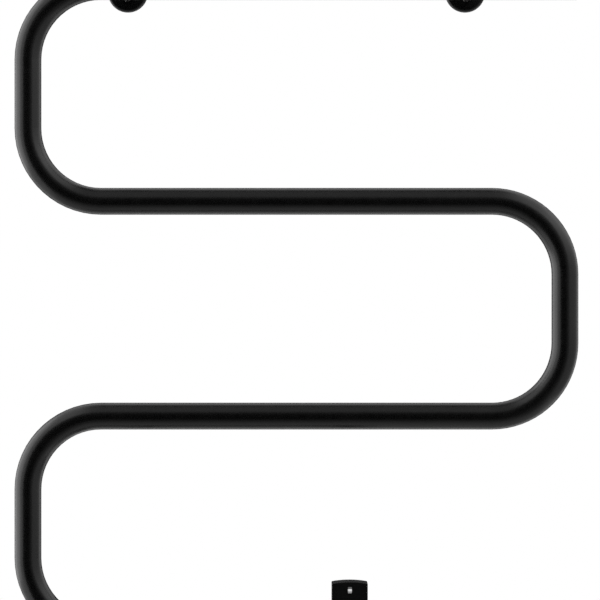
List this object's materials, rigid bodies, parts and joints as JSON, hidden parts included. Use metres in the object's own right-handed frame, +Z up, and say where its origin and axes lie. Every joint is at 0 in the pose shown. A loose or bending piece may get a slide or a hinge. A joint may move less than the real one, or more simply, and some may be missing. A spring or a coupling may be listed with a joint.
{
  "type": "electric heated towel rail",
  "caption": "Wall-mounted electric heated towel rail: a serpentine of satin black tube on stand-off posts, with a slim control unit and push button at its lower end.",
  "frame": {"origin": "on the wall plane, midway between the two upper fixings", "axes": "+X to the right seen from the front, +Z up, +Y into the wall, so the front faces -Y"},
  "size_m": [0.525, 0.099, 0.6657],
  "materials": {
    "rail_black": "satin black powder coat",
    "mount_zinc": "zinc plated",
    "fixing_steel": "stainless steel",
    "casing_black": "fine moulded texture",
    "button_black": "satin",
    "window_white": "opal, lit from behind",
    "seal_rubber": "silicone, matt",
    "cable_sheath": "silicone sheath",
    "board_green": "solder mask",
    "nylon_natural": "moulded nylon",
    "component_black": "moulded",
    "component_blue": "moulded",
    "contact_brass": "bright",
    "wire_brown": "insulated wire",
    "wire_green": "insulated wire"
  },
  "bodies": {
    "rail": {"board_connector": "nylon_natural", "board_leads": "wire_brown", "board_screws": "fixing_steel", "cable_end_boot": "seal_rubber", "cable_grommet": "seal_rubber", "cable_post": "rail_black", "cable_rosette": "rail_black", "cable_wall_mount": "mount_zinc", "circuit_board": "board_green", "earth_lead": "wire_green", "earth_tab": "fixing_steel", "earth_terminal": "contact_brass", "end_cap": "rail_black", "end_cap_seal": "seal_rubber", "filter_capacitor": "component_blue", "front_shell": "casing_black", "grub_screws": "fixing_steel", "heater_leads": "wire_brown", "heating_cable": "cable_sheath", "post_nut": "fixing_steel", "post_stub_lower_left": "rail_black", "post_stub_upper_left": "rail_black", "post_stub_upper_right": "rail_black", "power_relay": "component_blue", "rail_tube": "rail_black", "rear_shell": "casing_black", "rosette_lower_left": "rail_black", "rosette_upper_left": "rail_black", "rosette_upper_right": "rail_black", "shell_screws": "fixing_steel", "shell_seal": "seal_rubber", "status_led": "window_white", "status_lens": "window_white", "switch_body": "component_black", "terminal_block": "nylon_natural", "terminal_screws": "contact_brass", "thermal_fuse": "component_black", "tube_bush": "seal_rubber", "tube_seal": "seal_rubber", "wall_mount_lower_left": "mount_zinc", "wall_mount_upper_left": "mount_zinc", "wall_mount_upper_right": "mount_zinc"},
    "button": {"button_cap": "button_black", "switch_plunger": "nylon_natural"}
  },
  "joints": [
    {"name": "button_press", "type": "slide", "parent": "rail", "child": "button", "axis": [0, 1, 0], "range_m": [0, 0.0015], "stiffness_N_per_m": 600, "springref_m": -0.002}
  ]
}
